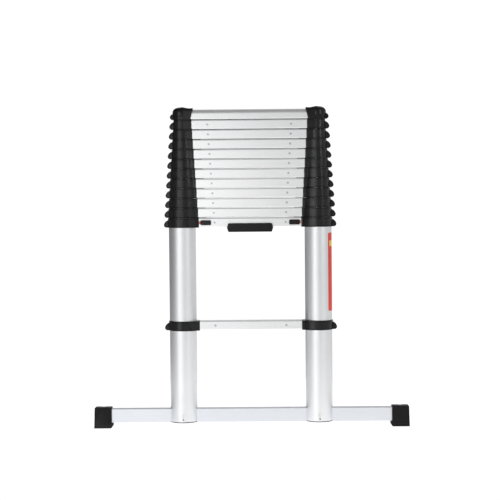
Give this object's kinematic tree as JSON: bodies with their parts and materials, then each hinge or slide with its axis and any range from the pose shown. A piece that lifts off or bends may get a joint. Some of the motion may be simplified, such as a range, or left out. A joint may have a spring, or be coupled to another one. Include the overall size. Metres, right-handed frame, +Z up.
{
  "type": "telescoping ladder",
  "caption": "Telescoping ladder closed up: flat rungs stacked in collars on round nesting tubes, with domed caps, thumb releases and a wide stabiliser bar on rubber feet.",
  "frame": {"origin": "on the floor, under the middle of the closed ladder", "axes": "+Z up along the tubes, +X to the right along the rungs, the front faces -Y"},
  "size_m": [0.89, 0.081, 0.9045],
  "materials": {
    "tube_aluminium": "satin anodised, lightly drawn along the tube",
    "rung_aluminium": "satin anodised",
    "bar_aluminium": "satin anodised",
    "collar_plastic": "fine moulded grain",
    "plug_plastic": "moulded",
    "foot_rubber": "moulded rubber",
    "button_plastic": "moulded, ridged",
    "grip_plastic": "moulded",
    "zinc_steel": "zinc plated",
    "spring_steel": "oiled spring wire",
    "indicator_plastic": "glossy red",
    "label_film": "printed film, blank"
  },
  "bodies": {
    "base": {"base_tubes": "tube_aluminium", "tube_plugs": "plug_plastic", "stabiliser_bar": "bar_aluminium", "stabiliser_feet": "foot_rubber", "stabiliser_bolts": "zinc_steel", "rung_1": "rung_aluminium", "collars_1": "collar_plastic", "rung_2": "rung_aluminium", "collars_2": "collar_plastic", "base_fasteners": "zinc_steel", "lock_spring_left": "spring_steel", "lock_spring_right": "spring_steel", "carry_grip": "grip_plastic"},
    "section_3": {"tubes_3": "tube_aluminium", "rung_3": "rung_aluminium", "collars_and_bushes_3": "collar_plastic", "locks_and_fixings_3": "zinc_steel"},
    "section_4": {"tubes_4": "tube_aluminium", "rung_4": "rung_aluminium", "collars_and_bushes_4": "collar_plastic", "locks_and_fixings_4": "zinc_steel"},
    "section_5": {"tubes_5": "tube_aluminium", "rung_5": "rung_aluminium", "collars_and_bushes_5": "collar_plastic", "locks_and_fixings_5": "zinc_steel"},
    "section_6": {"tubes_6": "tube_aluminium", "rung_6": "rung_aluminium", "collars_and_bushes_6": "collar_plastic", "locks_and_fixings_6": "zinc_steel"},
    "section_7": {"tubes_7": "tube_aluminium", "rung_7": "rung_aluminium", "collars_and_bushes_7": "collar_plastic", "locks_and_fixings_7": "zinc_steel"},
    "section_8": {"tubes_8": "tube_aluminium", "rung_8": "rung_aluminium", "collars_and_bushes_8": "collar_plastic", "locks_and_fixings_8": "zinc_steel"},
    "section_9": {"tubes_9": "tube_aluminium", "rung_9": "rung_aluminium", "collars_and_bushes_9": "collar_plastic", "locks_and_fixings_9": "zinc_steel"},
    "section_10": {"tubes_10": "tube_aluminium", "rung_10": "rung_aluminium", "collars_and_bushes_10": "collar_plastic", "locks_and_fixings_10": "zinc_steel"},
    "section_11": {"tubes_11": "tube_aluminium", "rung_11": "rung_aluminium", "collars_and_bushes_11": "collar_plastic", "locks_and_fixings_11": "zinc_steel"},
    "section_12": {"tubes_12": "tube_aluminium", "rung_12": "rung_aluminium", "collars_and_bushes_12": "collar_plastic", "locks_and_fixings_12": "zinc_steel"},
    "section_13": {"tubes_13": "tube_aluminium", "rung_13": "rung_aluminium", "top_caps_and_bushes": "collar_plastic"},
    "release_left": {"release_button_left": "button_plastic", "lock_pin_left": "zinc_steel"},
    "release_right": {"release_button_right": "button_plastic", "lock_pin_right": "zinc_steel"}
  },
  "joints": [
    {"name": "section_3_slide", "type": "slide", "parent": "base", "child": "section_3", "axis": [0, 0, 1], "range_m": [0, 0.2625]},
    {"name": "section_4_slide", "type": "slide", "parent": "section_3", "child": "section_4", "axis": [0, 0, 1], "range_m": [0, 0.2625]},
    {"name": "section_5_slide", "type": "slide", "parent": "section_4", "child": "section_5", "axis": [0, 0, 1], "range_m": [0, 0.2625]},
    {"name": "section_6_slide", "type": "slide", "parent": "section_5", "child": "section_6", "axis": [0, 0, 1], "range_m": [0, 0.2625]},
    {"name": "section_7_slide", "type": "slide", "parent": "section_6", "child": "section_7", "axis": [0, 0, 1], "range_m": [0, 0.2625]},
    {"name": "section_8_slide", "type": "slide", "parent": "section_7", "child": "section_8", "axis": [0, 0, 1], "range_m": [0, 0.2625]},
    {"name": "section_9_slide", "type": "slide", "parent": "section_8", "child": "section_9", "axis": [0, 0, 1], "range_m": [0, 0.2625]},
    {"name": "section_10_slide", "type": "slide", "parent": "section_9", "child": "section_10", "axis": [0, 0, 1], "range_m": [0, 0.2625]},
    {"name": "section_11_slide", "type": "slide", "parent": "section_10", "child": "section_11", "axis": [0, 0, 1], "range_m": [0, 0.2625]},
    {"name": "section_12_slide", "type": "slide", "parent": "section_11", "child": "section_12", "axis": [0, 0, 1], "range_m": [0, 0.2625]},
    {"name": "section_13_slide", "type": "slide", "parent": "section_12", "child": "section_13", "axis": [0, 0, 1], "range_m": [0, 0.2625]},
    {"name": "release_left_slide", "type": "slide", "parent": "base", "child": "release_left", "axis": [1, 0, 0], "range_m": [0, 0.006], "stiffness_N_per_m": 400, "springref_m": -0.01, "deforming": ["lock_spring_left"]},
    {"name": "release_right_slide", "type": "slide", "parent": "base", "child": "release_right", "axis": [-1, 0, 0], "range_m": [0, 0.006], "stiffness_N_per_m": 400, "springref_m": -0.01, "deforming": ["lock_spring_right"]}
  ]
}
